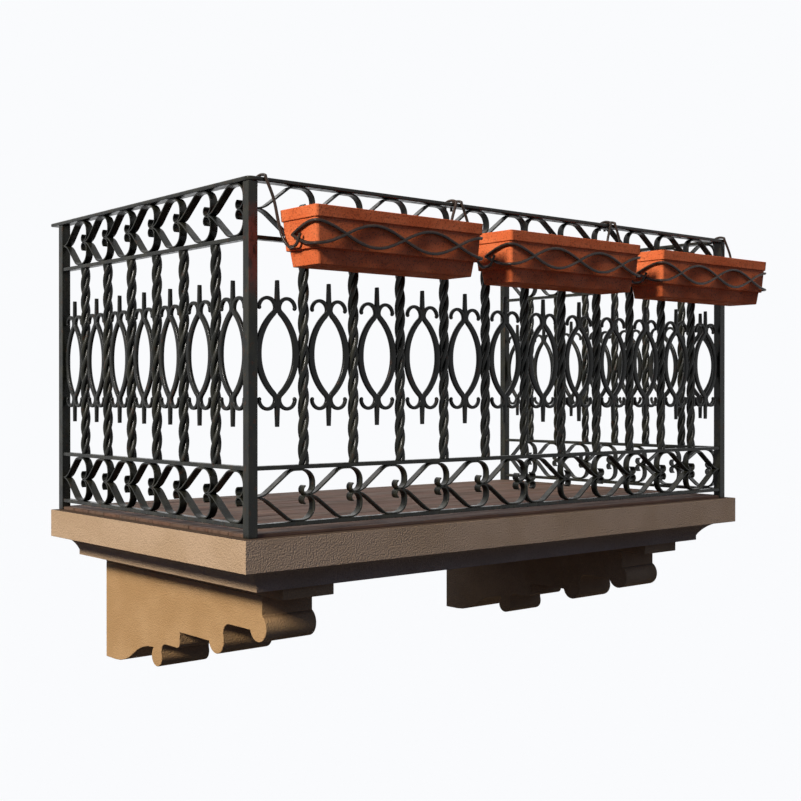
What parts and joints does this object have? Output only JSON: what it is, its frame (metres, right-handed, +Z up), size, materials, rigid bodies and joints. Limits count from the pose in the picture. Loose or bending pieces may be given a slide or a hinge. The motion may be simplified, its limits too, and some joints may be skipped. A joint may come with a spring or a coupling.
{
  "type": "steel balcony railing",
  "caption": "Wall balcony: forged steel railing with scrolls, lens ornaments and twisted bars on a corbelled stone slab, clay flower boxes in wire holders hung outside.",
  "frame": {"origin": "middle of the slab's back face, on the plane of the wall", "axes": "+X along the front of the balcony, +Y into the wall, +Z up; the front railing is at -Y"},
  "size_m": [2.246, 1.4431, 1.5509],
  "materials": {
    "wrought_steel": "forged steel, worn near-black paint with rust showing through",
    "stone": "tan plastered stone, matt and slightly grainy",
    "floor_wood": "weathered brown boards",
    "terracotta": "unglazed orange clay, matt",
    "holder_wire": "dark brown painted wire"
  },
  "bodies": {
    "root": {"left_wall_post": "wrought_steel", "left_corner_post": "wrought_steel", "right_corner_post": "wrought_steel", "right_wall_post": "wrought_steel", "left_handrail": "wrought_steel", "front_handrail": "wrought_steel", "right_handrail": "wrought_steel", "left_frieze_rail": "wrought_steel", "front_frieze_rail": "wrought_steel", "right_frieze_rail": "wrought_steel", "left_lower_rail": "wrought_steel", "front_lower_rail": "wrought_steel", "right_lower_rail": "wrought_steel", "left_bottom_rail": "wrought_steel", "front_bottom_rail": "wrought_steel", "right_bottom_rail": "wrought_steel", "left_twisted_bars": "wrought_steel", "front_twisted_bars": "wrought_steel", "right_twisted_bars": "wrought_steel", "left_lens_ornaments": "wrought_steel", "front_lens_ornaments": "wrought_steel", "right_lens_ornaments": "wrought_steel", "left_top_scrolls": "wrought_steel", "front_top_scrolls": "wrought_steel", "right_top_scrolls": "wrought_steel", "left_bottom_scrolls": "wrought_steel", "front_bottom_scrolls": "wrought_steel", "right_bottom_scrolls": "wrought_steel", "slab": "stone", "floor_boards": "floor_wood", "cove_moulding": "stone", "left_corbel_cap": "stone", "right_corbel_cap": "stone", "left_corbel": "stone", "right_corbel": "stone", "left_flower_box": "terracotta", "middle_flower_box": "terracotta", "right_flower_box": "terracotta", "left_box_holder": "holder_wire", "middle_box_holder": "holder_wire", "right_box_holder": "holder_wire"}
  },
  "joints": []
}
